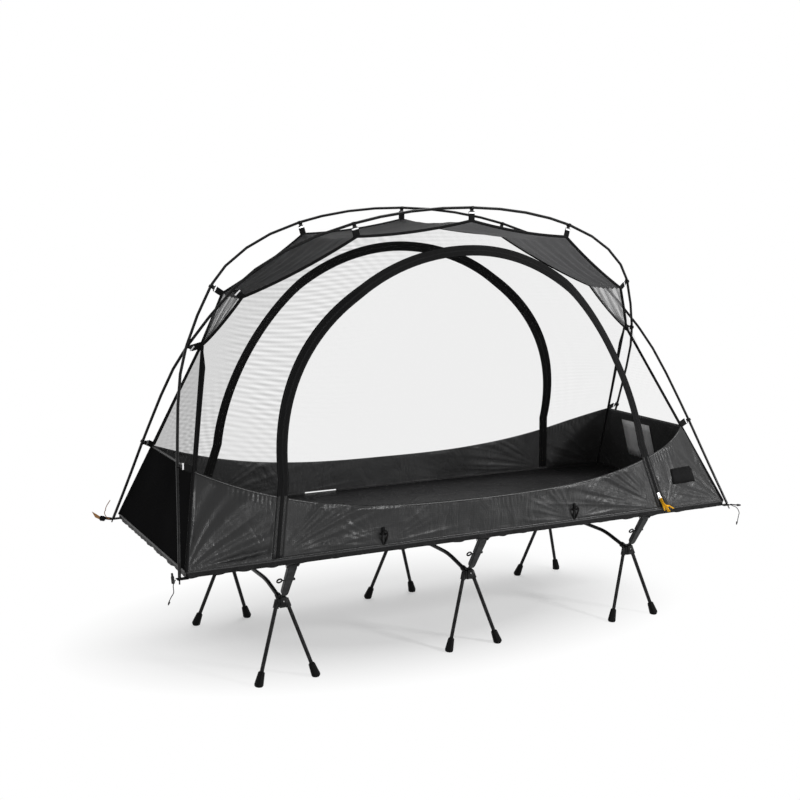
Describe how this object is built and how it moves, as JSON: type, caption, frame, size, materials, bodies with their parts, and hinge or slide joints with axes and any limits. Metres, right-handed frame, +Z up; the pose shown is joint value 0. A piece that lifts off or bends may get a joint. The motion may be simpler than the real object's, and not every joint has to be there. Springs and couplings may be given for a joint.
{
  "type": "tent cot",
  "caption": "Raised folding cot on splayed tube legs with tension levers, carrying a netted sleeping tent that hangs by hooks from arched poles.",
  "frame": {"origin": "on the ground under the middle of the bed", "axes": "+X along the bed, towards the end with the zip sliders; +Z up; the near side is at -Y"},
  "size_m": [2.0219, 0.7342, 1.3786],
  "materials": {
    "anodised": "dark anodised tube",
    "moulded": "moulded, satin",
    "lever": "moulded, satin grey",
    "leg": "dark tube with a rubber foot",
    "bed_cloth": "woven, coated",
    "wall_cloth": "coated ripstop",
    "roof_cloth": "coated ripstop",
    "webbing": "woven tape",
    "net": "fine see-through net",
    "door": "net above a band of coated cloth",
    "slider": "bright metal",
    "pull": "yellow cord tab",
    "cord": "thin braided cord"
  },
  "bodies": {
    "cot_and_tent": {"side_rail_near": "anodised", "tent_pole_near": "anodised", "zip_band_near": "webbing", "side_net_near": "net", "side_rail_far": "anodised", "tent_pole_far": "anodised", "zip_band_far": "webbing", "side_net_far": "net", "bed_sheet": "bed_cloth", "cross_bow_left": "anodised", "cross_bow_middle": "anodised", "cross_bow_right": "anodised", "leg_hub_near_left": "moulded", "rail_clip_near_left": "moulded", "leg_hub_near_middle": "moulded", "rail_clip_near_middle": "moulded", "leg_hub_near_right": "moulded", "rail_clip_near_right": "moulded", "leg_hub_far_left": "moulded", "rail_clip_far_left": "moulded", "leg_hub_far_middle": "moulded", "rail_clip_far_middle": "moulded", "leg_hub_far_right": "moulded", "rail_clip_far_right": "moulded", "seam_harness": "webbing", "floor_and_walls": "wall_cloth", "hem_skirt": "webbing", "end_net_left": "net", "end_net_right": "net", "roof_panel": "roof_cloth", "corner_cord_near_left": "cord", "corner_cord_near_right": "cord", "corner_cord_far_left": "cord"},
    "lever_near_left": {"lever_near_left": "lever"},
    "lever_near_middle": {"lever_near_middle": "lever"},
    "lever_near_right": {"lever_near_right": "lever"},
    "lever_far_left": {"lever_far_left": "lever"},
    "lever_far_middle": {"lever_far_middle": "lever"},
    "lever_far_right": {"lever_far_right": "lever"},
    "leg_near_left_left": {"leg_near_left_left": "leg"},
    "leg_near_left_right": {"leg_near_left_right": "leg"},
    "leg_near_middle_left": {"leg_near_middle_left": "leg"},
    "leg_near_middle_right": {"leg_near_middle_right": "leg"},
    "leg_near_right_left": {"leg_near_right_left": "leg"},
    "leg_near_right_right": {"leg_near_right_right": "leg"},
    "leg_far_left_left": {"leg_far_left_left": "leg"},
    "leg_far_left_right": {"leg_far_left_right": "leg"},
    "leg_far_middle_left": {"leg_far_middle_left": "leg"},
    "leg_far_middle_right": {"leg_far_middle_right": "leg"},
    "leg_far_right_left": {"leg_far_right_left": "leg"},
    "leg_far_right_right": {"leg_far_right_right": "leg"},
    "door_near": {"door_near": "door", "door_toggle_left": "webbing", "door_toggle_right": "webbing"},
    "door_far": {"door_far": "door"},
    "zip_slider_near": {"zip_slider_near": "slider"},
    "zip_pull_near": {"zip_pull_near": "pull"},
    "zip_slider_far": {"zip_slider_far": "slider"},
    "zip_pull_far": {"zip_pull_far": "pull"}
  },
  "joints": [
    {"name": "lever_near_left_hinge", "type": "hinge", "parent": "cot_and_tent", "child": "lever_near_left", "pos_m": [-0.632, -0.32929, 0.36111], "axis": [-1, 0, 0], "range_deg": [0, 60]},
    {"name": "lever_near_middle_hinge", "type": "hinge", "parent": "cot_and_tent", "child": "lever_near_middle", "pos_m": [0, -0.32929, 0.36111], "axis": [-1, 0, 0], "range_deg": [0, 60]},
    {"name": "lever_near_right_hinge", "type": "hinge", "parent": "cot_and_tent", "child": "lever_near_right", "pos_m": [0.632, -0.32929, 0.36111], "axis": [-1, 0, 0], "range_deg": [0, 60]},
    {"name": "lever_far_left_hinge", "type": "hinge", "parent": "cot_and_tent", "child": "lever_far_left", "pos_m": [-0.632, 0.32929, 0.36111], "axis": [1, 0, 0], "range_deg": [0, 60]},
    {"name": "lever_far_middle_hinge", "type": "hinge", "parent": "cot_and_tent", "child": "lever_far_middle", "pos_m": [0, 0.32929, 0.36111], "axis": [1, 0, 0], "range_deg": [0, 60]},
    {"name": "lever_far_right_hinge", "type": "hinge", "parent": "cot_and_tent", "child": "lever_far_right", "pos_m": [0.632, 0.32929, 0.36111], "axis": [1, 0, 0], "range_deg": [0, 60]},
    {"name": "leg_near_left_left_slide", "type": "slide", "parent": "cot_and_tent", "child": "leg_near_left_left", "axis": [-0.3111, -0.179, -0.9334], "range_m": [0, 0.018]},
    {"name": "leg_near_left_right_slide", "type": "slide", "parent": "cot_and_tent", "child": "leg_near_left_right", "axis": [0.3111, -0.179, -0.9334], "range_m": [0, 0.018]},
    {"name": "leg_near_middle_left_slide", "type": "slide", "parent": "cot_and_tent", "child": "leg_near_middle_left", "axis": [-0.3111, -0.179, -0.9334], "range_m": [0, 0.018]},
    {"name": "leg_near_middle_right_slide", "type": "slide", "parent": "cot_and_tent", "child": "leg_near_middle_right", "axis": [0.3111, -0.179, -0.9334], "range_m": [0, 0.018]},
    {"name": "leg_near_right_left_slide", "type": "slide", "parent": "cot_and_tent", "child": "leg_near_right_left", "axis": [-0.3111, -0.179, -0.9334], "range_m": [0, 0.018]},
    {"name": "leg_near_right_right_slide", "type": "slide", "parent": "cot_and_tent", "child": "leg_near_right_right", "axis": [0.3111, -0.179, -0.9334], "range_m": [0, 0.018]},
    {"name": "leg_far_left_left_slide", "type": "slide", "parent": "cot_and_tent", "child": "leg_far_left_left", "axis": [-0.3111, 0.179, -0.9334], "range_m": [0, 0.018]},
    {"name": "leg_far_left_right_slide", "type": "slide", "parent": "cot_and_tent", "child": "leg_far_left_right", "axis": [0.3111, 0.179, -0.9334], "range_m": [0, 0.018]},
    {"name": "leg_far_middle_left_slide", "type": "slide", "parent": "cot_and_tent", "child": "leg_far_middle_left", "axis": [-0.3111, 0.179, -0.9334], "range_m": [0, 0.018]},
    {"name": "leg_far_middle_right_slide", "type": "slide", "parent": "cot_and_tent", "child": "leg_far_middle_right", "axis": [0.3111, 0.179, -0.9334], "range_m": [0, 0.018]},
    {"name": "leg_far_right_left_slide", "type": "slide", "parent": "cot_and_tent", "child": "leg_far_right_left", "axis": [-0.3111, 0.179, -0.9334], "range_m": [0, 0.018]},
    {"name": "leg_far_right_right_slide", "type": "slide", "parent": "cot_and_tent", "child": "leg_far_right_right", "axis": [0.3111, 0.179, -0.9334], "range_m": [0, 0.018]},
    {"name": "door_near_hinge", "type": "hinge", "parent": "cot_and_tent", "child": "door_near", "pos_m": [0, -0.3522, 0.3942], "axis": [1, 0, 0], "range_deg": [0, 90]},
    {"name": "door_far_hinge", "type": "hinge", "parent": "cot_and_tent", "child": "door_far", "pos_m": [0, 0.3522, 0.3942], "axis": [-1, 0, 0], "range_deg": [0, 90]},
    {"name": "zip_slider_near_slide", "type": "slide", "parent": "cot_and_tent", "child": "zip_slider_near", "axis": [-0.2094, 0.2865, 0.9349], "range_m": [0, 0.1]},
    {"name": "zip_pull_near_hinge", "type": "hinge", "parent": "zip_slider_near", "child": "zip_pull_near", "pos_m": [0.6794, -0.34883, 0.42735], "axis": [-0.9775, -0.0849, -0.1929], "range_deg": [0, 150]},
    {"name": "zip_slider_far_slide", "type": "slide", "parent": "cot_and_tent", "child": "zip_slider_far", "axis": [-0.2094, -0.2865, 0.9349], "range_m": [0, 0.1]},
    {"name": "zip_pull_far_hinge", "type": "hinge", "parent": "zip_slider_far", "child": "zip_pull_far", "pos_m": [0.6794, 0.34883, 0.42735], "axis": [0.9775, -0.0849, 0.1929], "range_deg": [0, 150]}
  ]
}
